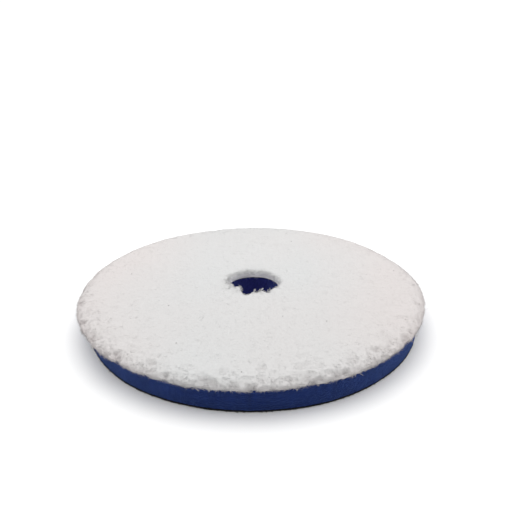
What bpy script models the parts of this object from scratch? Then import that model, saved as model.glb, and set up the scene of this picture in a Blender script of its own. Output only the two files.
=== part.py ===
"""Polishing pad: a white microfibre face on a navy foam disc with a hook-and-loop back.

The pad lies on its loop face, centred on the Z axis, with the working pile up. It is a laminate of
rings. Each ring's profile is a closed loop of (radius, height) corners, worked out by a function
and spun round the Z axis. The three layers of the working face hang from one empty on the axis, at
the foam's top, because they sink together when the foam is squeezed.
"""

import math

import bmesh
import bpy

# Driving dimensions, in metres
FACE_RADIUS = 0.0825  # widest reach of the pile
PILE_OVERHANG = 0.0033  # how far the pile reaches past the foam under it
FOAM_TAPER = 0.0004  # the foam is this much smaller in radius at its lower face
HOLE_RADIUS = 0.0127  # the hole cut through every layer
HOLE_PILE_OVERHANG = 0.0006  # how far the pile leans in over the hole

NAP_HEIGHT = 0.0007  # loops that the backing plate's hooks grip
LOOP_CLOTH_THICKNESS = 0.0004  # knitted ground that holds the loops
GLUE_THICKNESS = 0.0002  # each of the two glue films
FOAM_THICKNESS = 0.0083
FACE_CLOTH_THICKNESS = 0.0005  # knitted ground that holds the pile
PILE_LENGTH = 0.0035  # pile above its ground cloth

EDGE_ROUND_WIDTH = 0.0070  # the pile's top rolls over to its rim across this width
WIDEST_ABOVE_ROOT = 0.0007  # height of the widest ring above the pile's roots
LIP_DROP = 0.0015  # how far the rim pile hangs below the pile's roots
LIP_ROUND = 0.0019  # rounding under the hanging rim
HOLE_ROUND = 0.0015  # rounding at the top of the pile's hole
FOAM_ARRIS = 0.0003  # small cut arris along the foam's edges

LAYER_GAP = 0.0003  # between one layer's solid and the next
LIP_CLEARANCE = 0.0003  # between the hanging rim and the layers inside it

SEGMENTS = 96  # facets round the disc
ARC_STEPS = 6  # facets along each rounded edge
SMOOTH_ANGLE = math.radians(35)

# Heights of the stack, from the floor up
LOOP_CLOTH_Z = NAP_HEIGHT + LAYER_GAP
BACK_GLUE_Z = LOOP_CLOTH_Z + LOOP_CLOTH_THICKNESS + LAYER_GAP
FOAM_Z = BACK_GLUE_Z + GLUE_THICKNESS + LAYER_GAP
FOAM_TOP_Z = FOAM_Z + FOAM_THICKNESS
FACE_GLUE_Z = FOAM_TOP_Z + LAYER_GAP
FACE_CLOTH_Z = FACE_GLUE_Z + GLUE_THICKNESS + LAYER_GAP
PILE_Z = FACE_CLOTH_Z + FACE_CLOTH_THICKNESS + LAYER_GAP
PILE_TOP_Z = PILE_Z + PILE_LENGTH

# Radii that follow from the driving ones
FOAM_TOP_RADIUS = FACE_RADIUS - PILE_OVERHANG
FOAM_BOTTOM_RADIUS = FOAM_TOP_RADIUS - FOAM_TAPER
LIP_INNER_RADIUS = FOAM_TOP_RADIUS + LIP_CLEARANCE
PILE_HOLE_RADIUS = HOLE_RADIUS - HOLE_PILE_OVERHANG


def clear_scene():
    """Remove whatever objects the open file holds."""
    for item in list(bpy.data.objects):
        bpy.data.objects.remove(item, do_unlink=True)


def finish(name, colour, roughness, sheen=0.0):
    """One Principled material; colour is linear red, green, blue."""
    material = bpy.data.materials.new(name)
    material.use_nodes = True
    shader = material.node_tree.nodes["Principled BSDF"]
    shader.inputs["Base Color"].default_value = (*colour, 1.0)
    shader.inputs["Roughness"].default_value = roughness
    shader.inputs["Metallic"].default_value = 0.0
    shader.inputs["Sheen Weight"].default_value = sheen
    material.diffuse_color = (*colour, 1.0)
    return material


def quarter_arc(centre, reach, start):
    """Corners along a quarter of an ellipse, turning clockwise from the start angle."""
    corners = []
    for step in range(ARC_STEPS + 1):
        angle = start - math.pi / 2 * step / ARC_STEPS
        across = centre[0] + reach[0] * math.cos(angle)
        up = centre[1] + reach[1] * math.sin(angle)
        corners.append((across, up))
    return corners


def flat_ring(bottom, thickness, outer_radius):
    """Profile of a flat layer with the common hole."""
    top = bottom + thickness
    return [
        (HOLE_RADIUS, bottom),
        (HOLE_RADIUS, top),
        (outer_radius, top),
        (outer_radius, bottom),
    ]


def foam_ring():
    """Profile of the foam: a slightly tapered disc whose cut edges are a little broken."""
    return [
        (HOLE_RADIUS, FOAM_Z + FOAM_ARRIS),
        (HOLE_RADIUS, FOAM_TOP_Z - FOAM_ARRIS),
        (HOLE_RADIUS + FOAM_ARRIS, FOAM_TOP_Z),
        (FOAM_TOP_RADIUS - FOAM_ARRIS, FOAM_TOP_Z),
        (FOAM_TOP_RADIUS, FOAM_TOP_Z - FOAM_ARRIS),
        (FOAM_BOTTOM_RADIUS, FOAM_Z + FOAM_ARRIS),
        (FOAM_BOTTOM_RADIUS - FOAM_ARRIS, FOAM_Z),
        (HOLE_RADIUS + FOAM_ARRIS, FOAM_Z),
    ]


def pile_ring():
    """Profile of the pile: flat on top, rolled over at the rim and hanging outside the foam."""
    widest_z = PILE_Z + WIDEST_ABOVE_ROOT
    lip_z = PILE_Z - LIP_DROP
    lip_round = min(LIP_ROUND, 0.8 * (FACE_RADIUS - LIP_INNER_RADIUS))
    hole_shoulder = quarter_arc(
        (PILE_HOLE_RADIUS + HOLE_ROUND, PILE_TOP_Z - HOLE_ROUND),
        (HOLE_ROUND, HOLE_ROUND),
        math.pi,
    )
    rolled_rim = quarter_arc(
        (FACE_RADIUS - EDGE_ROUND_WIDTH, widest_z),
        (EDGE_ROUND_WIDTH, PILE_TOP_Z - widest_z),
        math.pi / 2,
    )
    under_rim = quarter_arc(
        (FACE_RADIUS - lip_round, widest_z),
        (lip_round, widest_z - lip_z),
        0.0,
    )
    inside_rim = [
        (LIP_INNER_RADIUS, lip_z),
        (LIP_INNER_RADIUS, PILE_Z),
        (PILE_HOLE_RADIUS, PILE_Z),
    ]
    return hole_shoulder + rolled_rim + under_rim[1:] + inside_rim


def turned(name, profile, material, carrier=None):
    """Spin a closed profile once round the Z axis into one closed body."""
    half_facet = math.pi / SEGMENTS
    bm = bmesh.new()
    corners = [
        bm.verts.new((r * math.cos(half_facet), r * math.sin(half_facet), z))
        for r, z in profile
    ]
    edges = [
        bm.edges.new((a, b)) for a, b in zip(corners, corners[1:] + corners[:1])
    ]
    bmesh.ops.spin(
        bm,
        geom=corners + edges,
        cent=(0.0, 0.0, 0.0),
        axis=(0.0, 0.0, 1.0),
        angle=2 * math.pi,
        steps=SEGMENTS,
        use_merge=True,
    )
    bmesh.ops.recalc_face_normals(bm, faces=bm.faces)
    mesh = bpy.data.meshes.new(name)
    bm.to_mesh(mesh)
    bm.free()
    mesh.materials.append(material)
    mesh.shade_smooth()
    mesh.set_sharp_from_angle(angle=SMOOTH_ANGLE)
    ring = bpy.data.objects.new(name, mesh)
    bpy.context.scene.collection.objects.link(ring)
    if carrier is not None:
        mesh.transform(carrier.matrix_world.inverted())
        ring.parent = carrier
    return ring


def face_carrier():
    """The empty that the working face sinks with, on the axis at the foam's top."""
    carrier = bpy.data.objects.new("face_carrier", None)
    bpy.context.scene.collection.objects.link(carrier)
    carrier.location = (0.0, 0.0, FOAM_TOP_Z)
    bpy.context.view_layer.update()
    return carrier


def backing():
    """The layers that stay with the machine's backing plate."""
    black_loops = finish("black_loops", (0.010, 0.010, 0.013), 0.95, sheen=0.3)
    black_knit = finish("black_knit", (0.014, 0.014, 0.018), 0.90)
    clear_glue = finish("clear_glue", (0.45, 0.45, 0.40), 0.40)
    navy_foam = finish("navy_foam", (0.012, 0.030, 0.130), 0.92, sheen=0.2)
    turned("loop_nap", flat_ring(0.0, NAP_HEIGHT, FOAM_BOTTOM_RADIUS), black_loops)
    turned(
        "loop_ground_cloth",
        flat_ring(LOOP_CLOTH_Z, LOOP_CLOTH_THICKNESS, FOAM_BOTTOM_RADIUS),
        black_knit,
    )
    turned(
        "backing_glue_film",
        flat_ring(BACK_GLUE_Z, GLUE_THICKNESS, FOAM_BOTTOM_RADIUS),
        clear_glue,
    )
    turned("foam_interlayer", foam_ring(), navy_foam)


def working_face():
    """The layers that sink together when the foam is squeezed."""
    white_pile = finish("white_pile", (0.78, 0.77, 0.75), 0.95, sheen=0.4)
    white_knit = finish("white_knit", (0.62, 0.61, 0.58), 0.90)
    face_glue = finish("face_glue", (0.50, 0.50, 0.46), 0.40)
    carrier = face_carrier()
    turned(
        "face_glue_film",
        flat_ring(FACE_GLUE_Z, GLUE_THICKNESS, FOAM_TOP_RADIUS),
        face_glue,
        carrier,
    )
    turned(
        "pile_ground_cloth",
        flat_ring(FACE_CLOTH_Z, FACE_CLOTH_THICKNESS, FOAM_TOP_RADIUS),
        white_knit,
        carrier,
    )
    turned("microfibre_pile", pile_ring(), white_pile, carrier)


def main():
    clear_scene()
    backing()
    working_face()


main()
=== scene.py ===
"""Looks of the polishing pad: white cut pile, navy foam and a black loop back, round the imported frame.

Every layer is a ring, so most surfaces are worked out from two parameters: a row of a closed outline
in the (radius, height) plane, and the angle round the pad. The pile's fibres, the stray wisps and
the loops of the back are thin closed strands along curved paths. All lengths are in metres.
"""

import math
from collections import namedtuple

import bpy
import numpy as np
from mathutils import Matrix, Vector


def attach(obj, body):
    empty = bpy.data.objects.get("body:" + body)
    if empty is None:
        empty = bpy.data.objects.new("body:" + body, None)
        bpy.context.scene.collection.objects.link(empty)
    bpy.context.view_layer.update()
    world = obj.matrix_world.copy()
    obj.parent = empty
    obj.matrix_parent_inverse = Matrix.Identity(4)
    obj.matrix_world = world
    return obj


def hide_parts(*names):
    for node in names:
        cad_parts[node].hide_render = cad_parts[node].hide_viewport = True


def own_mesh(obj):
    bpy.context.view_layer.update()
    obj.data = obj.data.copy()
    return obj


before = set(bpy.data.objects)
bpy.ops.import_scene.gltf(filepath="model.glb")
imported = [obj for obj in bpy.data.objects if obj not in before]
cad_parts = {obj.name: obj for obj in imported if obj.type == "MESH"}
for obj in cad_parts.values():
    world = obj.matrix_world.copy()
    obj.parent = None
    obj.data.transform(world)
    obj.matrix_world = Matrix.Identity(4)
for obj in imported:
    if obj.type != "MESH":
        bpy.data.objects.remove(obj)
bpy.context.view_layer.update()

MM = 0.001
TURN = 2 * math.pi

# ---------------------------------------------------------------- the frame's layers

Layer = namedtuple("Layer", "inner outer low high")


def layer(node):
    """A CAD layer's smallest and largest corner radius and its lowest and highest corner."""
    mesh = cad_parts[node].data
    corners = np.empty(3 * len(mesh.vertices))
    mesh.vertices.foreach_get("co", corners)
    x, y, z = corners.reshape(-1, 3).T
    radius = np.hypot(x, y)
    return Layer(radius.min(), radius.max(), z.min(), z.max())


NAP = layer("loop_nap")
LOOP_CLOTH = layer("loop_ground_cloth")
BACK_GLUE = layer("backing_glue_film")
FOAM = layer("foam_interlayer")
FACE_GLUE = layer("face_glue_film")
FACE_CLOTH = layer("pile_ground_cloth")
PILE = layer("microfibre_pile")

PILE_FUR = 0.55 * MM  # the pile's body stays this far inside the outline that its fibres fill
FIBRE_SPACING = 0.47 * MM
FIBRE_POINTS = np.array([0.0, 0.55, 1.0])  # shares of a fibre's length
HOLE_OFF_CENTRE = 0.8 * MM  # the hole is punched this far to the right of the disc's centre
FOAM_ASIDE = 0.9 * MM  # the foam and the layers glued to it sit this far to the right of the pile
CUT_BACK = 0.55 * MM  # cloths and glue end this far inside the foam's cut edge
LIP_WALL = 1.7 * MM  # thickness of the pile's body where it hangs past the cloth

# How many steps each ring takes round the axis
PILE_STEPS = 740
FOAM_STEPS = 1200
NAP_STEPS = 600
CLOTH_STEPS = 480
GLUE_STEPS = 240

# ---------------------------------------------------------------- numbers spread over space


def lattice(i, j, k, seed):
    """A repeatable number from -1 to 1 for whole-number coordinates: each is multiplied by a large
    odd number, and the bits are mixed and cut to 32."""
    mixed = (i * 73856093) ^ (j * 19349663) ^ (k * 83492791) ^ (seed * 2654435761)
    mixed = mixed & 0xFFFFFFFF
    mixed = ((mixed ^ (mixed >> 13)) * 1274126177) & 0xFFFFFFFF
    mixed = mixed ^ (mixed >> 16)
    return mixed / 0x7FFFFFFF - 1.0


def soft_noise(points, size, seed=0):
    """Smooth noise from about -1 to 1: the lattice numbers of the eight corners round each point,
    blended along each axis by the S-curve 3t^2 - 2t^3 of the point's place between them."""
    scaled = np.asarray(points) / size
    whole = np.floor(scaled).astype(np.int64)
    t = scaled - whole
    t = t * t * (3 - 2 * t)
    total = 0.0
    for corner in np.ndindex(2, 2, 2):
        share = np.ones(t.shape[:-1])
        for axis in range(3):
            share = share * (t[..., axis] if corner[axis] else 1 - t[..., axis])
        i, j, k = (whole[..., axis] + corner[axis] for axis in range(3))
        total = total + share * lattice(i, j, k, seed)
    return total


def cell_distances(points, size, seed=0):
    """Distances, in cell sizes, from each point to the nearest two of a set of scattered centres,
    one centre for each cube of a grid, looked for in the 27 cubes round the point."""
    scaled = np.asarray(points) / size
    whole = np.floor(scaled).astype(np.int64)
    first = np.full(scaled.shape[:-1], 9.0)
    second = first.copy()
    for step in np.ndindex(3, 3, 3):
        cube = whole + np.array(step) - 1
        i, j, k = cube[..., 0], cube[..., 1], cube[..., 2]
        shift = [0.5 + 0.45 * lattice(i, j, k, seed + n) for n in (11, 12, 13)]
        away = np.linalg.norm(cube + np.stack(shift, -1) - scaled, axis=-1)
        second = np.minimum(second, np.maximum(first, away))
        first = np.minimum(first, away)
    return first, second


def eased(value, start, end):
    """0 before start, 1 past end, and the S-curve 3t^2 - 2t^3 between them."""
    t = np.clip((value - start) / (end - start), 0, 1)
    return t * t * (3 - 2 * t)


# ---------------------------------------------------------------- meshes from arrays


def new_piece(name, corners, faces, maps=None):
    """A mesh object from an array of corners and a list of index arrays, one for each face size.
    maps holds UV maps as {name: array with one pair for each face corner}."""
    mesh = bpy.data.meshes.new(name)
    sizes = np.concatenate([np.full(len(f), f.shape[1]) for f in faces])
    loops = np.concatenate([f.ravel() for f in faces])
    mesh.vertices.add(len(corners))
    mesh.vertices.foreach_set("co", np.ascontiguousarray(corners, np.float32).ravel())
    mesh.loops.add(len(loops))
    mesh.loops.foreach_set("vertex_index", loops.astype(np.int32))
    mesh.polygons.add(len(sizes))
    starts = np.concatenate([[0], np.cumsum(sizes)[:-1]])
    mesh.polygons.foreach_set("loop_start", starts.astype(np.int32))
    mesh.update(calc_edges=True)
    mesh.shade_smooth()
    for title, pairs in (maps or {}).items():
        mesh.uv_layers.new(name=title).data.foreach_set("uv", pairs.astype(np.float32).ravel())
    piece = bpy.data.objects.new(name, mesh)
    bpy.context.scene.collection.objects.link(piece)
    return piece


def stretch(start, end, count):
    """count corners of a straight run, without its end, as (radius, height) pairs."""
    return np.linspace(start, end, count, endpoint=False)


def bend(centre, reach, start, end, count):
    """count corners of an elliptical arc between two angles in turns, without its end:
    centre plus reach times (cos, sin)."""
    angle = TURN * np.linspace(start, end, count, endpoint=False)
    return np.stack([centre[0] + reach[0] * np.cos(angle), centre[1] + reach[1] * np.sin(angle)], -1)


class Outline:
    """A closed outline in the (radius, height) plane, anticlockwise, with normals that point out."""

    def __init__(self, *runs):
        self.place = np.concatenate(runs)
        along = np.roll(self.place, -1, 0) - np.roll(self.place, 1, 0)
        out = np.stack([along[:, 1], -along[:, 0]], -1)
        self.out = out / np.linalg.norm(out, axis=1, keepdims=True)
        step = np.linalg.norm(np.roll(self.place, -1, 0) - self.place, axis=1)
        self.length = np.concatenate([[0.0], np.cumsum(step)])

    def at(self, along):
        """Places and normals at lengths along the outline, between its corners in proportion."""
        loop = [np.concatenate([a, a[:1]]) for a in (self.place, self.out)]
        place, out = (
            np.stack([np.interp(along, self.length, a[:, n]) for n in range(2)], -1) for a in loop
        )
        return place, out / np.linalg.norm(out, axis=-1, keepdims=True)


def hand_cut(angle, reach, waves, seed):
    """How far a hand-cut edge strays from its circle at each angle: a sum of cosines, 2 to
    waves + 1 times round, with random phases and heights that fall off as 1 / times."""
    chance = np.random.default_rng(seed)
    total = np.zeros_like(angle)
    for times in range(2, waves + 2):
        height = chance.uniform(0.4, 1.0) / times
        total = total + height * np.cos(times * angle + chance.uniform(0, TURN))
    return reach * total


def stray(place, angle, aside):
    """Radial shift of a layer's points: the outer edge follows the knife's path and sits aside,
    fading inwards to nothing, and the hole's edge follows its own path, fading outwards."""
    radius = place[..., 0]
    knife = hand_cut(angle, 0.55 * MM, 11, 5) + aside * np.cos(angle)
    rim = eased(radius, 0.5 * FOAM.outer, FOAM.outer) * knife
    cut = hand_cut(angle, 0.22 * MM, 6, 8) + HOLE_OFF_CENTRE * np.cos(angle)
    hole = (1 - eased(radius, FOAM.inner, 2 * FOAM.inner)) * cut
    return rim + hole


def around(place, out, angle, aside=0.0):
    """(radius, height) places and normals, carried to an angle round the axis, as x, y, z."""
    radius = place[..., 0] + stray(place, angle, aside)
    spot = np.stack([radius * np.cos(angle), radius * np.sin(angle), place[..., 1]], -1)
    normal = np.stack([out[..., 0] * np.cos(angle), out[..., 0] * np.sin(angle), out[..., 1]], -1)
    return spot, normal


def turned(name, outline, steps, push, aside=FOAM_ASIDE):
    """A closed ring: each row of the outline carried round the axis in equal steps, then moved by
    push(spots, normals, angles), which takes whole arrays and gives each corner's shift."""
    rows = len(outline.place)
    angle = np.broadcast_to(TURN * np.arange(steps) / steps, (rows, steps))
    place = np.repeat(outline.place[:, None], steps, 1)
    out = np.repeat(outline.out[:, None], steps, 1)
    spot, normal = around(place, out, angle, aside)
    corners = spot + push(spot, normal, angle)
    index = np.arange(rows * steps).reshape(rows, steps)
    beside = np.roll(index, -1, 1)
    faces = np.stack([index, beside, np.roll(beside, -1, 0), np.roll(index, -1, 0)], -1)
    return new_piece(name, corners.reshape(-1, 3), [faces.reshape(-1, 4)])


def strands(name, paths, widths, chance):
    """Thin closed strands of three sides. paths holds each strand's points, root to tip, widths the
    half width at each point but the tip, and chance one number for each strand.

    A ring of three corners stands square to the path at each point but the last: the point plus its
    width times (cos, sin) of thirds of a turn along two directions square to the path. Triangles
    close the tip and the root. The map named strand holds (chance, share of the length), and the
    other gives every strand a cell of its own in a square grid."""
    count, points = paths.shape[:2]
    rings = points - 1
    along = np.gradient(paths, axis=1)
    along /= np.linalg.norm(along, axis=2, keepdims=True) + 1e-12
    mean = along.mean(1, keepdims=True)
    least = np.eye(3)[np.abs(mean[:, 0]).argmin(1)][:, None]
    side = np.cross(along, least)
    side /= np.linalg.norm(side, axis=2, keepdims=True) + 1e-12
    other = np.cross(along, side)
    third = TURN * np.arange(3) / 3
    across, up = np.cos(third)[:, None], np.sin(third)[:, None]
    spread = side[:, :rings, None] * across + other[:, :rings, None] * up
    ring = paths[:, :rings, None] + widths[:, :, None, None] * spread
    corners = np.concatenate([ring.reshape(count, rings * 3, 3), paths[:, -1:]], 1)

    base = np.arange(count)[:, None] * (rings * 3 + 1)
    k = np.arange(3)
    beside = (k + 1) % 3
    low = (3 * np.arange(rings - 1)[:, None] + k).ravel()
    low_beside = (3 * np.arange(rings - 1)[:, None] + beside).ravel()
    walls = np.stack([low, low_beside, low_beside + 3, low + 3], -1)
    last = 3 * (rings - 1)
    tips = np.stack([last + k, last + beside, np.full(3, rings * 3)], -1)
    root = np.array([[2, 1, 0]])
    threes = np.concatenate([tips, root])
    fours_all = (base[:, :, None] + walls).reshape(-1, 4)
    threes_all = (base[:, :, None] + threes).reshape(-1, 3)

    level = np.repeat(np.arange(rings - 1), 3)
    u = np.tile(k, rings - 1)
    wall_u = np.stack([u, u + 1, u + 1, u], -1)
    wall_v = np.stack([level, level, level + 1, level + 1], -1)
    wall_uv = np.stack([wall_u, wall_v], -1)
    tip_u = np.stack([k, k + 1, k + 0.5], -1)
    tip_v = np.tile([rings - 1, rings - 1, rings], (3, 1))
    tip_uv = np.stack([tip_u, tip_v], -1)
    root_uv = np.array([[[0.4, 0.0], [2.6, 0.0], [1.5, 0.1]]])
    size = np.array([3.0, rings])
    fours_uv, threes_uv = wall_uv / size, np.concatenate([tip_uv, root_uv]) / size
    cells = math.ceil(math.sqrt(count))
    margin = 0.08
    cell = np.stack([np.arange(count) % cells, np.arange(count) // cells], -1)[:, None, None]

    def own_cell(uv):
        return ((cell + margin + (1 - 2 * margin) * uv) / cells).reshape(-1, 2)

    def strand_values(uv):
        number = np.broadcast_to(chance[:, None, None], (count, *uv.shape[:2]))
        share = np.broadcast_to(uv[..., 1], (count, *uv.shape[:2]))
        return np.stack([number, share], -1).reshape(-1, 2)

    maps = {
        "strand": np.concatenate([strand_values(fours_uv), strand_values(threes_uv)]),
        "OFBake": np.concatenate([own_cell(fours_uv), own_cell(threes_uv)]),
    }
    return new_piece(name, corners.reshape(-1, 3), [fours_all, threes_all], maps)


# ---------------------------------------------------------------- materials


def rgb(red, green, blue):
    return (red, green, blue, 1.0)


COOL_WHITE = rgb(0.584, 0.587, 0.585)
WARM_WHITE = rgb(0.610, 0.573, 0.563)
HOLE_LIT_WHITE = rgb(0.86, 0.85, 0.87)
SHADE_WHITE = rgb(0.526, 0.505, 0.501)
NAVY = rgb(0.0070, 0.0180, 0.091)
BRIGHT_NAVY = rgb(0.0115, 0.0312, 0.162)
HOLE_LIT_NAVY = rgb(0.0190, 0.0200, 0.150)
PIT_SHADE_NAVY = rgb(0.004, 0.010, 0.050)
BLACK_YARN = rgb(0.0065, 0.0065, 0.0085)
WORN_BLACK = rgb(0.020, 0.019, 0.024)
PALE_LINT = rgb(0.16, 0.14, 0.13)
DARK_LINT = rgb(0.07, 0.065, 0.07)

# What the pile's white is multiplied by: painted shade to the front and down the rim
FRONT_SHADE = rgb(0.95, 0.95, 0.95)
RIM_SHADE = rgb(0.89, 0.865, 0.868)
LOW_RIM_SHADE = rgb(0.78, 0.75, 0.757)


def socket_name(words):
    """The Principled shader's name for a socket: Base Color for base_color."""
    return words.replace("_", " ").title().replace("Ior", "IOR")


class Wire:
    """A shader socket that does arithmetic: an expression on it adds the Math nodes."""

    def __init__(self, finish, socket):
        self.finish, self.socket = finish, socket

    def maths(self, operation, *values):
        numbered = dict(enumerate(values))
        return self.finish.node("ShaderNodeMath", {"operation": operation}, numbered)

    def __add__(self, other):
        return self.maths("ADD", self, other)

    def __sub__(self, other):
        return self.maths("SUBTRACT", self, other)

    def __rsub__(self, other):
        return self.maths("SUBTRACT", other, self)

    def __mul__(self, other):
        return self.maths("MULTIPLY", self, other)

    def __pow__(self, other):
        return self.maths("POWER", self, other)

    def __abs__(self):
        return self.maths("ABSOLUTE", self)


class Finish:
    """A material being made: one Principled shader and whatever nodes feed it."""

    def __init__(self, name, **constants):
        self.material = bpy.data.materials.new(name)
        self.material.use_nodes = True
        self.tree = self.material.node_tree
        self.tree.nodes.clear()
        self.shader = self.tree.nodes.new("ShaderNodeBsdfPrincipled")
        output = self.tree.nodes.new("ShaderNodeOutputMaterial")
        self.tree.links.new(self.shader.outputs[0], output.inputs[0])
        for words, value in constants.items():
            self.shader.inputs[socket_name(words)].default_value = value

    def node(self, kind, settings=None, sockets=None, output=0):
        """Any node: its settings first, then values or wires for its sockets by name or number."""
        made = self.tree.nodes.new(kind)
        for name, value in (settings or {}).items():
            if name == "stops":
                ramp = made.color_ramp
                while len(ramp.elements) < len(value):
                    ramp.elements.new(0.5)
                for element, (place, colour) in zip(ramp.elements, value):
                    element.position, element.color = place, colour
            else:
                setattr(made, name, value)
        for name, value in (sockets or {}).items():
            if isinstance(value, Wire):
                self.tree.links.new(value.socket, made.inputs[name])
            else:
                made.inputs[name].default_value = value
        return Wire(self, made.outputs[output])

    def own_place(self):
        """Object coordinates, in metres."""
        return self.node("ShaderNodeTexCoord", output="Object")

    def noise(self, scale, detail=2.0, roughness=0.5, vector=None):
        sockets = {"Scale": scale, "Detail": detail, "Roughness": roughness}
        sockets["Vector"] = vector or self.own_place()
        return self.node("ShaderNodeTexNoise", {"normalize": True}, sockets)

    def cells(self, scale, feature="F1"):
        sockets = {"Scale": scale, "Vector": self.own_place()}
        return self.node("ShaderNodeTexVoronoi", {"feature": feature}, sockets)

    def ramp(self, value, *stops):
        """A value looked up in (place, colour or grey) stops."""
        stops = [
            (place, level if isinstance(level, tuple) else rgb(level, level, level))
            for place, level in stops
        ]
        return self.node("ShaderNodeValToRGB", {"stops": stops}, {"Fac": value})

    def mixed(self, share, first, second, blend="MIX"):
        settings = {"data_type": "RGBA", "blend_type": blend}
        return self.node("ShaderNodeMix", settings, {0: share, 6: first, 7: second}, output=2)

    def spread(self, value, start, end):
        """Share of the way of a value from start to end, kept between 0 and 1."""
        sockets = {"Value": value, "From Min": start, "From Max": end}
        return self.node("ShaderNodeMapRange", sockets=sockets)

    def scaled_place(self, scale):
        """Object coordinates times a scale for each axis."""
        sockets = {0: self.own_place(), 1: scale}
        return self.node("ShaderNodeVectorMath", {"operation": "MULTIPLY"}, sockets)

    def axis(self, number):
        """One of the object coordinates: 0 for x, 1 for y, 2 for z."""
        return self.node("ShaderNodeSeparateXYZ", sockets={0: self.own_place()}, output=number)

    def radius(self):
        """Distance from the pad's axis."""
        flat = self.scaled_place((1.0, 1.0, 0.0))
        return self.node("ShaderNodeVectorMath", {"operation": "LENGTH"}, {0: flat}, output=1)

    def ribs(self, scale, distortion):
        """Wavy ribs of yarn, side by side along X."""
        settings = {"wave_type": "BANDS", "bands_direction": "X"}
        sockets = {"Scale": scale, "Distortion": distortion, "Detail": 2.0, "Vector": self.own_place()}
        return self.node("ShaderNodeTexWave", settings, sockets, output=1)

    def white_pile(self):
        """Two whites in broad drifts, warmer to the left and right; painted shade makes it a little
        darker to the front and greyer down the rolled rim, and painted light makes it lighter on the
        pile's wall in the hole."""
        sides = self.spread(abs(self.axis(0)), 25 * MM, 70 * MM)
        drift = self.ramp(self.noise(13.0, 2.0) * 0.5 + sides * 0.35, (0.20, 0.0), (0.60, 1.0))
        white = self.mixed(drift, COOL_WHITE, WARM_WHITE)
        # Painted shade: the pile's white is a little darker towards the front.
        front_shade = 1 - self.spread(self.axis(1), -60 * MM, 30 * MM)
        white = self.mixed(front_shade, white, FRONT_SHADE, "MULTIPLY")
        height, radius = self.axis(2), self.radius()
        fallen = 1 - self.spread(height, PILE.low, PILE.high - 0.9 * MM)
        # Painted shade: greyer low on the rolled rim, greyest nearest the foam.
        rim_shade = fallen * self.spread(radius, FOAM.outer - 14 * MM, FOAM.outer - 7 * MM)
        rim_shade_colour = self.ramp(rim_shade, (0.0, 1.0), (0.5, RIM_SHADE), (1.0, LOW_RIM_SHADE))
        rim_shaded_white = self.mixed(1.0, white, rim_shade_colour, "MULTIPLY")
        # Painted light: the pile's wall in the hole is painted lighter.
        inside = fallen * (1 - self.spread(radius, FOAM.inner, FOAM.inner + 2 * MM))
        return self.mixed(self.spread(inside, 0.1, 0.4), rim_shaded_white, HOLE_LIT_WHITE)

    def strand_values(self):
        """(one random number for each strand, share of the way from its root to its tip)."""
        both = self.node("ShaderNodeUVMap", {"uv_map": "strand"})
        return [self.node("ShaderNodeSeparateXYZ", sockets={0: both}, output=n) for n in range(2)]

    def bumped(self, height, distance, strength):
        sockets = {"Height": height, "Distance": distance, "Strength": strength}
        return self.node("ShaderNodeBump", sockets=sockets)

    def feed(self, **wires):
        """Link wires to the shader's sockets, named with _ for a space, and give the material."""
        for words, wire in wires.items():
            self.tree.links.new(wire.socket, self.shader.inputs[socket_name(words)])
        return self.material


def pile_body_finish():
    """White knitted ground seen between the fibres: painted shade darkens it in fine gaps, with a woolly
    bump.
    """
    f = Finish("white_pile_ground", roughness=0.95, sheen_weight=0.2, sheen_roughness=0.5)
    white = f.white_pile()
    gap_shade = f.ramp(f.noise(900.0, 3.0, 0.6), (0.35, 1.0), (0.60, 0.0))
    # Painted shade in the fine gaps between the fibres.
    colour = f.mixed(gap_shade * 0.2, white, SHADE_WHITE)
    wool = f.noise(1400.0, 4.0, 0.65) + f.cells(700.0) * 0.5
    return f.feed(base_color=colour, normal=f.bumped(wool, 0.4 * MM, 0.6))


def fibre_finish():
    """White cut microfibre: each strand a little lighter or darker than its neighbours, painted shade
    greying it towards its root, and a rare grey one."""
    f = Finish("white_microfibre", roughness=0.9, sheen_weight=0.25, sheen_roughness=0.4)
    number, share = f.strand_values()
    white = f.white_pile()
    # Painted shade: greyer towards each fibre's root.
    root_shaded = f.mixed((1 - share) ** 2.0 * 0.15, white, SHADE_WHITE)
    own = f.ramp(number, (0.0, 0.95), (0.5, 1.0), (0.9985, 1.0), (0.999, 0.45), (1.0, 0.45))
    colour = f.mixed(1.0, root_shaded, own, "MULTIPLY")
    return f.feed(base_color=colour)


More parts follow.
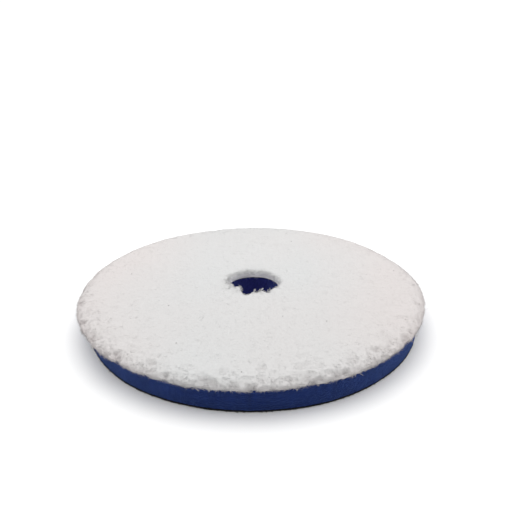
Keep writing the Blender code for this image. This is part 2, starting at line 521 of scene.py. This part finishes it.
def foam_finish():
    """Navy open-cell foam in broad uneven drifts of dye, with painted shade darkening the pits between
    lighter cell walls and the foot of the foam, painted light making the wall of the hole a brighter
    violet navy, and a fine bump from the torn cell walls."""
    f = Finish(
        "navy_open_cell_foam", roughness=0.92, specular_ior_level=0.12,
        sheen_weight=0.5, sheen_roughness=0.35, sheen_tint=rgb(0.22, 0.38, 0.95),
    )
    wall = f.cells(1500.0, "DISTANCE_TO_EDGE")
    pits = f.ramp(wall, (0.02, 1.0), (0.22, 0.0))
    streaks = f.noise(420.0, 2.0, vector=f.scaled_place((1.0, 1.0, 0.08)))
    drift = f.ramp(f.noise(60.0, 3.0) * 0.6 + streaks * 0.4, (0.38, 0.0), (0.62, 1.0))
    # Painted shade: the foam is darker towards its foot, by the floor.
    foot = 1 - f.spread(f.axis(2), FOAM.low, FOAM.low + 4.5 * MM)
    dye_shade_and_light = f.mixed(foot * 0.55, f.mixed(drift, NAVY, BRIGHT_NAVY), NAVY)
    # Painted light: the foam's wall in the hole is painted a brighter, more violet navy.
    dye_shade_and_light = f.mixed(1 - f.spread(f.radius(), 15 * MM, 20 * MM), dye_shade_and_light, HOLE_LIT_NAVY)
    # Painted shade: darker in the pits between the cell walls.
    colour = f.mixed((1 - pits) * 0.55, dye_shade_and_light, PIT_SHADE_NAVY)
    rough = f.noise(2600.0, 3.0, 0.6) * 0.4 + pits
    return f.feed(base_color=colour, normal=f.bumped(rough, 0.25 * MM, 0.7))


def black_cloth_finish(name):
    """Black warp knit: fine ribs of yarn across the cloth, a little lint."""
    f = Finish(name, roughness=0.9, specular_ior_level=0.2)
    lint = f.ramp(f.noise(500.0, 4.0, 0.7), (0.52, 0.0), (0.75, 1.0))
    colour = f.mixed(lint * 0.6, BLACK_YARN, WORN_BLACK)
    relief = f.ribs(330.0, 2.0) + f.noise(1800.0) * 0.5
    return f.feed(base_color=colour, normal=f.bumped(relief, 0.2 * MM, 0.8))


def loop_finish():
    """Black nylon loops: satin, a little lighter towards the crown of each loop."""
    f = Finish("black_nylon_loops", roughness=0.55, sheen_weight=0.1)
    number, share = f.strand_values()
    crown = 1 - (share * 2 - 1.0) ** 2.0
    colour = f.mixed(crown * 0.6 * number, BLACK_YARN, WORN_BLACK)
    return f.feed(base_color=colour)


def white_cloth_finish():
    """White knitted ground cloth: ribs of yarn, with painted shade greying it between them."""
    f = Finish("white_ground_knit", roughness=0.95, sheen_weight=0.1)
    ribs = f.ribs(260.0, 2.5)
    # Painted shade between the ribs.
    colour = f.mixed(ribs, SHADE_WHITE, COOL_WHITE)
    return f.feed(base_color=colour, normal=f.bumped(ribs, 0.2 * MM, 0.6))


def glue_finish(name, thin, thick):
    """A dried glue film: satin, slightly uneven in depth of colour."""
    f = Finish(name, roughness=0.35, ior=1.48)
    flow = f.ramp(f.noise(220.0, 3.0), (0.35, 0.0), (0.68, 1.0))
    colour = f.mixed(flow, thin, thick)
    return f.feed(base_color=colour, normal=f.bumped(f.noise(500.0, 2.0), 0.3 * MM, 0.4))


# ---------------------------------------------------------------- the pile


def pile_outline():
    """The pile body's outline: under the face, down and round the hanging rim, up over the rolled
    edge, in across the flat top and down round the hole."""
    root, top = PILE.low + 1.5 * MM, PILE.high - PILE_FUR
    widest = root + 0.8 * MM
    rim_in, rim_out = PILE.outer - LIP_WALL - PILE_FUR, PILE.outer - PILE_FUR
    lip = PILE.low + 1.0 * MM
    heel = 1.0 * MM
    roll = 6.6 * MM
    hole_in, hole_out = PILE.inner + 0.35 * MM, PILE.inner + 1.0 * MM
    hem = FACE_GLUE.high + 0.05 * MM
    shoulder = 2.0 * MM
    return Outline(
        stretch((hole_out, root), (rim_in, root), 10),
        stretch((rim_in, root), (rim_in, lip), 2),
        stretch((rim_in, lip), (rim_out - heel, lip), 2),
        bend((rim_out - heel, widest), (heel, widest - lip), -0.25, 0.0, 8),
        bend((rim_out - roll, widest), (roll, top - widest), 0.0, 0.25, 24),
        stretch((rim_out - roll, top), (hole_in + shoulder, top), 58),
        bend((hole_in + shoulder, top - shoulder), (shoulder, shoulder), 0.25, 0.5, 10),
        stretch((hole_in, top - shoulder), (hole_in, hem + 0.2 * MM), 7),
        stretch((hole_in, hem + 0.2 * MM), (hole_in + 0.3 * MM, hem), 2),
        stretch((hole_in + 0.3 * MM, hem), (hole_out, hem), 2),
        stretch((hole_out, hem), (hole_out, root), 3),
    )


# Where the pile leans over the hole's edge or is parted there: the angle and half width in degrees,
# how far it leans in and how far it stands up, in millimetres (less than nothing where parted).
HOLE_TUFTS = (
    (-149, 13, 1.7, 0.9),
    (-126, 9, 2.9, 1.2),
    (-102, 7, -1.1, -1.0),
    (-87, 6, 0.7, 0.3),
    (-71, 6, 1.6, 0.8),
    (-58, 5, -1.0, -0.9),
    (-38, 12, 0.7, 0.3),
    (-4, 14, 0.0, -0.2),
    (40, 16, 0.5, -0.2),
    (80, 18, 0.3, -0.4),
    (128, 20, 0.4, -0.2),
    (182, 14, -0.5, -0.2),
)


def hole_lean(radius, height, angle):
    """How far the pile leans in and stands up near the hole: bell curves in the angle, one for each
    tuft, that fade out a few millimetres from the edge and towards the roots."""
    where, width, inward, upward = np.array(HOLE_TUFTS).T
    away = (np.degrees(angle)[..., None] - where + 180) % 360 - 180
    bell = np.exp(-((away / width) ** 2))
    near = 1 - eased(radius, FOAM.inner, FOAM.inner + 3.6 * MM)
    tall = eased(height, PILE.low + 0.8 * MM, PILE.high - 1.2 * MM)
    return (bell @ inward) * near * tall * MM, (bell @ upward) * near * tall * MM


WORN_SIDE = math.radians(-100)  # the rim's most handled place: the front, a little to the left
LEAST_WORN = 0.2


def worn(angle):
    """How much the rim has been handled: 1 at its worn side, falling to the least behind."""
    return LEAST_WORN + (1 - LEAST_WORN) * eased(np.cos(angle - WORN_SIDE), 0.0, 0.95)


def pile_swell(spot, normal, angle):
    """Each corner's shift: fleecy clumps along the normal, with creases between them where a smooth
    noise crosses zero, shallow dimples, and hollows where the pile is parted, all strongest round
    the worn side of the rim; gentle broader waves; and the tufts at the hole. It all fades out
    underneath, where a cloth holds it."""
    radius = np.hypot(spot[..., 0], spot[..., 1])
    outside = eased(radius, 0.97 * PILE.outer, 0.985 * PILE.outer)
    shown = np.minimum(1, eased(normal[..., 2], -0.75, -0.15) + outside)
    rim = eased(radius, PILE.outer - 18 * MM, PILE.outer - 1.0 * MM) * worn(angle)
    hole = 1 - eased(radius, FOAM.inner, FOAM.inner + 2 * MM)
    creases = 1 - 2.6 * np.abs(soft_noise(spot, 3.4 * MM, 1))
    fine = soft_noise(spot, 1.5 * MM, 10)
    waves = soft_noise(spot, 10 * MM, 2) * (0.07 + 0.12 * rim) + soft_noise(spot, 30 * MM, 3) * 0.14
    parted = eased(soft_noise(spot, 3.4 * MM, 15), 0.05, 0.85)
    dimples = eased(soft_noise(spot, 3.6 * MM, 16), 0.30, 0.95)
    dimples = dimples * (0.14 * worn(angle) + 0.40 * rim)
    clumps = creases * (0.05 + 0.13 * rim**2 + 0.10 * hole) + fine * (0.02 + 0.09 * rim)
    hollows = parted * (0.08 + 1.10 * rim) + dimples
    along = (clumps + waves - hollows + 0.15 * hole * fine) * MM * shown
    inward, upward = hole_lean(radius, spot[..., 2], angle)
    shift = normal * along[..., None]
    shift[..., 0] -= inward * np.cos(angle)
    shift[..., 1] -= inward * np.sin(angle)
    shift[..., 2] += upward
    return shift


def pile_body(outline):
    body = turned("pile_body", outline, PILE_STEPS, pile_swell, aside=0.0)
    body.data.materials.append(pile_body_finish())
    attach(body, "working_face")
    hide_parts("microfibre_pile")


def scattered_roots(outline, spacing, start, end, chance):
    """Even but irregular places on the turned outline between two lengths along it: rows a spacing
    apart, each with as many places as its circle holds, all nudged by up to 0.6 of a spacing."""
    rows = np.arange(start, end, spacing)
    place, _ = outline.at(rows)
    each = np.maximum(1, np.round(TURN * place[:, 0] / spacing)).astype(int)
    row = np.repeat(rows, each)
    first = np.repeat(np.cumsum(each) - each, each)
    turn = np.arange(len(row)) - first + chance.uniform(0, 1, len(rows)).repeat(each)
    angle = TURN * turn / each.repeat(each)
    radius = np.repeat(place[:, 0], each)
    row = row + spacing * chance.uniform(-0.6, 0.6, len(row))
    angle = angle + spacing / radius * chance.uniform(-0.6, 0.6, len(row))
    return row, angle


def unit(vectors):
    return vectors / (np.linalg.norm(vectors, axis=-1, keepdims=True) + 1e-12)


def matted_fibres(outline, chance):
    """Every pile fibre's path, half widths and own number.

    The sheared pile is matted: a fibre leaves the body at a low angle, in a direction that swirls
    smoothly from place to place so that neighbours form locks, and arches over. At share t of its
    length it is at root + length (along t + normal rise (t - fall t^2) + side curl t^2). The roots
    run from the middle of the hanging lip's underside to near the foot of the hole's wall."""
    under_lip = (outline.place[:, 0] > FOAM.outer) & (outline.place[:, 1] < PILE.low + 1.1 * MM)
    hang = np.flatnonzero(under_lip)
    start = outline.length[hang[len(hang) // 2]]
    end = outline.length[-1] - 2.2 * MM
    row, angle = scattered_roots(outline, FIBRE_SPACING, start, end, chance)
    count = len(row)
    place, out = outline.at(row)
    spot, normal = around(place, out, angle)
    root = spot + pile_swell(spot, normal, angle) - 0.06 * MM * normal
    radius = np.hypot(root[:, 0], root[:, 1])
    rim = eased(radius, PILE.outer - 8 * MM, PILE.outer - 1 * MM) * (0.5 + 0.5 * worn(angle))
    hole = 1 - eased(radius, FOAM.inner, FOAM.inner + 2.2 * MM)

    swirl = TURN * 1.1 * soft_noise(root, 4.2 * MM, 21) + chance.normal(0, 1.3, count)
    round_way = np.stack([-np.sin(angle), np.cos(angle), 0 * angle], -1)
    cross_way = np.cross(normal, round_way)
    along = round_way * np.cos(swirl)[:, None] + cross_way * np.sin(swirl)[:, None]
    along[:, 2] -= 0.15 * rim
    side = unit(np.cross(normal, along))

    edge = np.maximum(rim, hole)
    uneven = 1 + 0.28 * chance.normal(size=count).clip(-1.8, 2.0)
    length = MM * (0.92 + 0.35 * edge) * uneven
    rise = 0.03 + 0.16 * chance.beta(1.6, 3.2, count) + 0.24 * rim + 0.30 * hole
    fall = 0.30 + 0.35 * chance.uniform(0, 1, count)
    curl = 0.55 * chance.normal(size=count)
    t = FIBRE_POINTS[None, :, None]
    paths = root[:, None] + length[:, None, None] * (
        along[:, None] * t
        + normal[:, None] * (rise[:, None, None] * t - (fall * rise)[:, None, None] * t**2)
        + side[:, None] * curl[:, None, None] * t**2
    )
    thick = MM * chance.uniform(0.024, 0.041, count) * (1 + 0.70 * edge)
    widths = thick[:, None] * np.array([0.95, 0.90])
    return paths, widths, chance.uniform(0, 1, count)


RIM_LOCKS = 64
HOLE_LOCKS = 26
LOCK_FIBRES = 7
LOCK_POINTS = 8
# Locks at chosen angles, in degrees: thin ones on the rim, and thick ones at the hole's near edge
RIM_PLACES = (-101, -91, -74)
HOLE_PLACES = (-79, -76, -72, -67, -62, -118)
LONG_PLACES = 5  # the first of the hole's, which are also long
LOCK_REACH = 3.0 * MM


def locks(outline, along, angle, length, thick, chance):
    """Small locks of pile that have worked loose: from a place on the body each curls in a slow
    spiral about its own direction while it droops, and its fibres part slightly towards the tip.
    At share t the lock is at its root + length (0.7 way t + 0.26 spiral - drop t^2 upwards)."""
    count = len(along)
    place, out = outline.at(along)
    spot, normal = around(place, out, angle)
    spot = spot + pile_swell(spot, normal, angle)
    share = np.linspace(0, 1, LOCK_POINTS)
    t = share[None, :, None]
    side = unit(np.cross(normal, chance.normal(size=(count, 3))))
    other = np.cross(normal, side)
    way = unit(normal + 0.8 * chance.normal(size=(count, 3)))
    phase = chance.uniform(0, TURN, count)[:, None, None]
    turns = chance.uniform(0.3, 0.8, count)[:, None, None]
    bearing = TURN * turns * t + phase
    curl = side[:, None] * np.cos(bearing) + other[:, None] * np.sin(bearing)
    curl = curl - curl[:, :1]
    drop = np.array([0.0, 0.0, 1.0]) * chance.uniform(0.1, 0.5, count)[:, None, None]
    run = way[:, None] * t * 0.7 + 0.26 * curl - drop * t**2
    middle = spot[:, None] + length[:, None, None] * run
    paths = np.repeat(middle, LOCK_FIBRES, 0)
    thick = np.repeat(thick, LOCK_FIBRES)
    fibres = count * LOCK_FIBRES
    apart = chance.normal(size=(fibres, 1, 3)) * thick[:, None, None] * (0.9 + 2.2 * t)
    widths = thick[:, None] * (1 - 0.5 * share[None, :-1])
    return paths + apart, widths, chance.uniform(0, 0.98, fibres)


def loose_locks(outline, chance):
    """Locks hanging from the rim over the foam and leaning into the hole."""
    lengths, place = outline.length[:-1], outline.place
    low_rim = lengths[(place[:, 0] > PILE.outer - 1.2 * MM) & (place[:, 1] < PILE.low + 2.6 * MM)]
    rim = chance.uniform(low_rim.min(), low_rim.max(), RIM_LOCKS)
    rim_angle = chance.uniform(0, TURN, RIM_LOCKS)
    rim_angle[: len(RIM_PLACES)] = np.radians(RIM_PLACES)
    hole_edge = lengths[(place[:, 0] < PILE.inner + 1.6 * MM) & (place[:, 1] > PILE.low + 2.4 * MM)]
    hole = chance.uniform(hole_edge.min(), hole_edge.max(), HOLE_LOCKS)
    placed = len(HOLE_PLACES)
    others = HOLE_LOCKS - placed
    hole_angle = np.radians(np.concatenate([HOLE_PLACES, chance.uniform(-160, -20, others)]))
    rim_size = chance.uniform(0.7, 1.6, RIM_LOCKS)
    hole_size = chance.uniform(1.4, 3.0, HOLE_LOCKS)
    size = MM * np.concatenate([rim_size, hole_size])
    size[RIM_LOCKS : RIM_LOCKS + LONG_PLACES] = LOCK_REACH
    thick = MM * np.repeat([0.04, 0.12, 0.05], [RIM_LOCKS, placed, others])
    along, angle = np.concatenate([rim, hole]), np.concatenate([rim_angle, hole_angle])
    return locks(outline, along, angle, size, thick, chance)


def dress(piece, material, body):
    piece.data.materials.append(material)
    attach(piece, body)


# Specks of lint on the face: the angle in degrees and the radius in millimetres
LINT = ((-118, 63), (-52, 51), (-93, 75), (8, 74), (172, 62), (66, 58), (-146, 45), (-70, 38))
LINT_LENGTH = 0.55 * MM
LINT_WIDTH = 0.11 * MM


def lint(outline, chance):
    """Specks of dark lint caught on the face: short thick strands, a little arched."""
    angle, radius = np.array(LINT).T
    top = np.flatnonzero(outline.out[:, 1] > 0.5)
    order = top[np.argsort(outline.place[top, 0])]
    along = np.interp(radius * MM, outline.place[order, 0], outline.length[order])
    angle = np.radians(angle)
    place, out = outline.at(along)
    spot, normal = around(place, out, angle)
    spot = spot + pile_swell(spot, normal, angle) + 0.16 * MM * normal
    way = unit(np.cross(normal, chance.normal(size=(len(angle), 3))))
    t = np.linspace(-0.5, 0.5, 5)[None, :, None]
    paths = spot[:, None] + LINT_LENGTH * (way[:, None] * t + normal[:, None] * (0.1 - t**2))
    widths = np.full((len(angle), 4), LINT_WIDTH)
    return paths, widths, chance.uniform(0, 1, len(angle))


def lint_finish():
    """Grey-brown lint, darker towards one end."""
    f = Finish("grey_lint", roughness=0.9)
    _, share = f.strand_values()
    return f.feed(base_color=f.mixed(share * 0.6, PALE_LINT, DARK_LINT))


FIBRES_IN_A_PIECE = 19000  # at most, so that no piece grows too heavy


def pile():
    outline = pile_outline()
    pile_body(outline)
    chance = np.random.default_rng(17)
    paths, widths, number = matted_fibres(outline, chance)
    fibre = fibre_finish()
    order = chance.permutation(len(paths))
    sets = math.ceil(len(paths) / FIBRES_IN_A_PIECE)
    for n, picked in enumerate(np.array_split(order, sets)):
        piece = strands(f"pile_fibres_{n + 1}", paths[picked], widths[picked], number[picked])
        dress(piece, fibre, "working_face")
    loose = strands("pile_loose_locks", *loose_locks(outline, chance))
    dress(loose, fibre, "working_face")
    specks = strands("pile_lint", *lint(outline, chance))
    dress(specks, lint_finish(), "working_face")


# ---------------------------------------------------------------- foam, cloths and glue


def foam_outline():
    """The foam's outline: the underside, a small skirt over the edge of the layers below, the cut
    wall, the top, and down the wall of the hole to its own skirt."""
    low, top = FOAM.low - 0.1 * MM, FOAM.high + 0.2 * MM
    skirt = LOOP_CLOTH.low + 0.05 * MM
    wall, foot = FOAM.outer, NAP.outer
    hole = FOAM.inner
    arris = 0.22 * MM
    inner = CUT_BACK + 0.25 * MM
    return Outline(
        stretch((hole + inner, low), (foot - inner, low), 6),
        stretch((foot - inner, low), (foot - inner + 0.1 * MM, skirt), 3),
        stretch((foot - inner + 0.1 * MM, skirt), (foot - arris, skirt), 2),
        bend((foot - arris, skirt + arris), (arris, arris), -0.25, 0.0, 3),
        stretch((foot, skirt + arris), (wall, top - arris), 27),
        bend((wall - arris, top - arris), (arris, arris), 0.0, 0.25, 3),
        stretch((wall - arris, top), (hole + arris, top), 6),
        bend((hole + arris, top - arris), (arris, arris), 0.25, 0.5, 3),
        stretch((hole, top - arris), (hole, skirt + arris), 20),
        bend((hole + arris, skirt + arris), (arris, arris), 0.5, 0.75, 3),
        stretch((hole + arris, skirt), (hole + inner - 0.1 * MM, skirt), 2),
        stretch((hole + inner - 0.1 * MM, skirt), (hole + inner, low), 3),
    )


def foam_cells(spot, normal, angle):
    """The cut foam's surface: a pit in the middle of each open cell and a ridge where two cells
    meet, on faint waves from the knife. Only the walls show cells; the glued faces stay flat."""
    cut = eased(np.abs(normal[..., 2]), 0.9, 0.3)
    nearest, second = cell_distances(spot, 0.95 * MM, 4)
    ridge = 1 - eased(second - nearest, 0.0, 0.45)
    waves = soft_noise(spot, 7 * MM, 5) * 0.10 + soft_noise(spot, 1.7 * MM, 6) * 0.05
    return normal * (cut * MM * (0.15 * ridge - 0.10 + waves))[..., None]


def foam():
    body = turned("foam_body", foam_outline(), FOAM_STEPS, foam_cells)
    dress(body, foam_finish(), "backing")
    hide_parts("foam_interlayer")
    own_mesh(body)


def thin_outline(inner, outer, low, high):
    """A flat layer's outline with rounded edges: half circles join the two flat faces."""
    half = (high - low) / 2
    return Outline(
        stretch((inner + half, low), (outer - half, low), 16),
        bend((outer - half, low + half), (half, half), -0.25, 0.25, 4),
        stretch((outer - half, high), (inner + half, high), 16),
        bend((inner + half, low + half), (half, half), 0.25, 0.75, 4),
    )


def knit_relief(spot, normal, angle):
    """A knit's unevenness: small lumps about the size of a stitch."""
    return normal * (0.05 * MM * soft_noise(spot, 0.9 * MM, 7))[..., None]


def cloth(name, node, outline, material, body):
    piece = turned(name, outline, CLOTH_STEPS, knit_relief)
    dress(piece, material, body)
    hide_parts(node)


def glue_relief(spot, normal, angle):
    """A glue film's unevenness: slow swellings."""
    return normal * (0.04 * MM * soft_noise(spot, 2.5 * MM, 9))[..., None]


def glue(name, node, measures, material, body):
    inner, outer = measures.inner + CUT_BACK, measures.outer - CUT_BACK
    outline = thin_outline(inner, outer, measures.low, measures.high)
    piece = turned(name, outline, GLUE_STEPS, glue_relief)
    dress(piece, material, body)
    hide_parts(node)


LOOPS = 6000
EDGE_LOOPS = 900
LOOP_POINTS = 6


def loop_paths(chance):
    """Each loop of the nap leaves its bed, bows down to the floor and comes back beside itself: at
    share t it is at its foot plus span (t - 1/2) along a random direction, height (4t(1 - t))^0.8
    lower, with a sideways swing of sin(2 pi t). An extra row runs round the cut edge."""
    count = LOOPS + EDGE_LOOPS
    turn = chance.uniform(0, TURN, count)
    edge = NAP.outer - 0.2 * MM
    radius = np.sqrt(chance.uniform((NAP.inner + 0.5 * MM) ** 2, edge**2, count))
    angle = chance.uniform(0, TURN, count)
    radius[LOOPS:] = edge + chance.uniform(-0.25, 0.15, EDGE_LOOPS) * MM
    turn[LOOPS:] = angle[LOOPS:] + TURN / 4 + chance.normal(0, 0.35, EDGE_LOOPS)
    place = np.stack([radius, np.full(count, NAP.high - 0.05 * MM)], -1)
    foot, _ = around(place, np.zeros((count, 2)), angle, FOAM_ASIDE)
    way = np.stack([np.cos(turn), np.sin(turn), 0 * turn], -1)
    side = np.stack([-np.sin(turn), np.cos(turn), 0 * turn], -1)
    t = np.linspace(0, 1, LOOP_POINTS)[None, :, None]
    span = MM * chance.uniform(0.7, 1.3, count)[:, None, None]
    height = MM * chance.uniform(0.40, 0.54, count)[:, None, None]
    swing = MM * chance.uniform(-0.35, 0.35, count)[:, None, None]
    swing[LOOPS:] *= 0.3
    down = np.array([0.0, 0.0, -1.0])
    paths = foot[:, None] + span * (t - 0.5) * way[:, None] + swing * np.sin(TURN * t) * side[:, None]
    paths = paths + height * (4 * t * (1 - t)) ** 0.8 * down
    widths = np.full((count, LOOP_POINTS - 1), 0.09 * MM)
    return paths, widths, chance.uniform(0, 1, count)


def nap_relief(spot, normal, angle):
    """The nap's bed: fine lumps of crushed loops."""
    return normal * (0.09 * MM * soft_noise(spot, 0.8 * MM, 14))[..., None]


def loop_back():
    low, high = NAP.low + 0.28 * MM, NAP.high + 0.2 * MM
    bed_outline = thin_outline(NAP.inner + 0.1 * MM, NAP.outer, low, high)
    bed = turned("loop_nap_bed", bed_outline, NAP_STEPS, nap_relief)
    dress(bed, black_cloth_finish("black_crushed_loops"), "backing")
    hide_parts("loop_nap")
    nap = strands("loop_nap_loops", *loop_paths(np.random.default_rng(29)))
    dress(nap, loop_finish(), "backing")
    outline = thin_outline(
        LOOP_CLOTH.inner + CUT_BACK + 0.4 * MM, LOOP_CLOTH.outer - CUT_BACK - 0.4 * MM,
        NAP.high + 0.15 * MM, LOOP_CLOTH.high,
    )
    cloth(
        "loop_cloth", "loop_ground_cloth", outline, black_cloth_finish("black_warp_knit"),
        "backing",
    )
    dark_film = glue_finish("clear_glue_on_black", rgb(0.02, 0.02, 0.022), rgb(0.05, 0.05, 0.05))
    glue("back_glue", "backing_glue_film", BACK_GLUE, dark_film, "backing")


def face_cloth():
    outline = thin_outline(
        FACE_CLOTH.inner + 0.9 * MM, FACE_CLOTH.outer - CUT_BACK, FACE_CLOTH.low, FACE_CLOTH.high
    )
    cloth(
        "face_cloth", "pile_ground_cloth", outline, white_cloth_finish(),
        "working_face",
    )


def face_glue():
    white_film = glue_finish("clear_glue_on_white", rgb(0.35, 0.35, 0.33), rgb(0.50, 0.50, 0.46))
    glue("face_glue", "face_glue_film", FACE_GLUE, white_film, "working_face")


# ---------------------------------------------------------------- studio


def floor():
    """A wide pale floor just under the pad: a flat fan of rings, its edge far outside the view."""
    reaches = np.array([0.3, 1.0, 4.0, 30.0])
    sides = 64
    angle = TURN * np.arange(sides) / sides
    ring = reaches[:, None, None] * np.stack([np.cos(angle), np.sin(angle), 0 * angle], -1)
    corners = np.concatenate([[[0, 0, 0]], ring.reshape(-1, 3)])
    corners[:, 2] = -0.02 * MM
    index = 1 + np.arange(sides * len(reaches)).reshape(-1, sides)
    beside = np.roll(index, -1, 1)
    fan = np.stack([np.zeros(sides, int), index[0], beside[0]], -1)
    bands = np.stack([index[:-1], index[1:], beside[1:], beside[:-1]], -1).reshape(-1, 4)
    piece = new_piece("studio_floor", corners, [bands, fan])
    f = Finish("pale_floor", roughness=0.85)
    paint = f.ramp(f.noise(3.0, 2.0), (0.3, rgb(0.90, 0.90, 0.90)), (0.7, rgb(0.92, 0.92, 0.92)))
    piece.data.materials.append(f.feed(base_color=paint))


def soft_sun(name, strength, azimuth, elevation, softness):
    """A broad distant light: azimuth is in degrees anticlockwise from +X, and softness is its width
    in degrees."""
    lamp = bpy.data.lights.new(name, "SUN")
    lamp.energy, lamp.angle = strength, math.radians(softness)
    light = bpy.data.objects.new(name, lamp)
    light.rotation_euler = (0, math.radians(90 - elevation), math.radians(azimuth))
    bpy.context.scene.collection.objects.link(light)


TENT_AT_LEVEL = 0.19
TENT_OVERHEAD = 1.11
PAPER = 1.05


def tent_world():
    """Soft light from all round, brighter the higher it comes from, and white paper behind."""
    world = bpy.data.worlds.new("white_tent")
    bpy.context.scene.world = world
    world.use_nodes = True
    tree = world.node_tree
    tree.nodes.clear()
    way = tree.nodes.new("ShaderNodeTexCoord")
    parts = tree.nodes.new("ShaderNodeSeparateXYZ")
    tree.links.new(way.outputs["Generated"], parts.inputs[0])
    bright = tree.nodes.new("ShaderNodeMapRange")
    bright.inputs["To Min"].default_value = TENT_AT_LEVEL
    bright.inputs["To Max"].default_value = TENT_OVERHEAD
    tree.links.new(parts.outputs["Z"], bright.inputs["Value"])
    tent, paper = (tree.nodes.new("ShaderNodeBackground") for _ in range(2))
    tent.inputs["Color"].default_value = rgb(1, 1, 1)
    tree.links.new(bright.outputs[0], tent.inputs["Strength"])
    paper.inputs["Color"].default_value = rgb(1, 1, 1)
    paper.inputs["Strength"].default_value = PAPER
    seen = tree.nodes.new("ShaderNodeLightPath")
    mix = tree.nodes.new("ShaderNodeMixShader")
    output = tree.nodes.new("ShaderNodeOutputWorld")
    tree.links.new(seen.outputs["Is Camera Ray"], mix.inputs[0])
    tree.links.new(tent.outputs[0], mix.inputs[1])
    tree.links.new(paper.outputs[0], mix.inputs[2])
    tree.links.new(mix.outputs[0], output.inputs[0])


def studio():
    """The tent, a broad light from above and one from each side."""
    tent_world()
    soft_sun("overhead_softbox", 1.46, 90, 72, 76)
    soft_sun("left_softbox", 0.42, 190, 24, 50)
    soft_sun("right_softbox", 0.42, -10, 24, 50)
    view = bpy.context.scene.view_settings
    view.view_transform, view.look = "Standard", "None"


# Where the camera stands and what it looks at, in radii of the pad
STAND = np.array([0.0, -2.625, 1.441])
AIM = np.array([0.0483, 0.0, 0.3165])


def camera():
    """The camera stands in front and looks down at the pad, near enough that it narrows away."""
    lens = bpy.data.cameras.new("studio_camera")
    lens.sensor_width, lens.lens = 36.0, 33.5
    lens.clip_start, lens.clip_end = 0.01, 100.0
    eye = bpy.data.objects.new("studio_camera", lens)
    bpy.context.scene.collection.objects.link(eye)
    stand, aim = STAND * PILE.outer, AIM * PILE.outer
    eye.location = stand
    eye.rotation_euler = Vector(aim - stand).to_track_quat("-Z", "Y").to_euler()
    bpy.context.scene.camera = eye


camera()
studio()
floor()
loop_back()
foam()
face_glue()
face_cloth()
pile()
